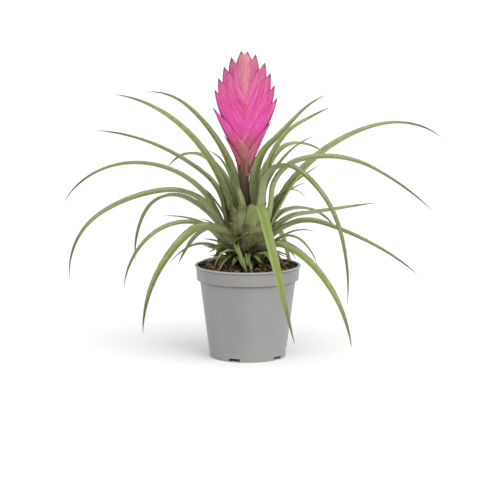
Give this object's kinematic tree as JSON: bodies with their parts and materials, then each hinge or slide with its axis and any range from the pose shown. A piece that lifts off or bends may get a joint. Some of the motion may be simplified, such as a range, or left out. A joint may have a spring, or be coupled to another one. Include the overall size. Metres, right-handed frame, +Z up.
{
  "type": "potted pink quill bromeliad",
  "caption": "Air-plant relative in flower: a rosette of long narrow arching leaves round a flat pink paddle of bracts, in a plain grey nursery pot filled with bark soil.",
  "frame": {"origin": "The middle of the pot's underside, on the surface that the pot stands on.", "axes": "+Z points up the pot's axis. +X points to the plant's right as seen from the front, along the leaves' widest spread. +Y points to the back, so the flat side of the flower head faces -Y."},
  "size_m": [0.327, 0.3169, 0.259],
  "materials": {
    "pot_plastic": "satin",
    "soil": "matte",
    "stem": "matte",
    "leaf": "matte",
    "stalk": "matte",
    "bract": "satin"
  },
  "bodies": {
    "root": {"pot": "pot_plastic", "soil": "soil", "stem": "stem", "leaf_right_arch_low": "leaf", "leaf_right_arch_high": "leaf", "leaf_right_level": "leaf", "leaf_right_up_front": "leaf", "leaf_right_back_low": "leaf", "leaf_right_up_back": "leaf", "leaf_back_right": "leaf", "leaf_back_1": "leaf", "leaf_back_2": "leaf", "leaf_back_3": "leaf", "leaf_back_left": "leaf", "leaf_left_up_back": "leaf", "leaf_back_4": "leaf", "leaf_left_up_front": "leaf", "leaf_left_hook": "leaf", "leaf_left_up_low": "leaf", "leaf_left_arch_high": "leaf", "leaf_left_arch_low": "leaf", "leaf_left_droop": "leaf", "leaf_front_left": "leaf", "leaf_front_cup": "leaf", "leaf_front_young": "leaf", "leaf_front_long": "leaf", "leaf_front_right": "leaf", "leaf_right_droop": "leaf", "leaf_right_low": "leaf", "flower_stalk": "stalk", "flower_head": "bract"}
  },
  "joints": []
}
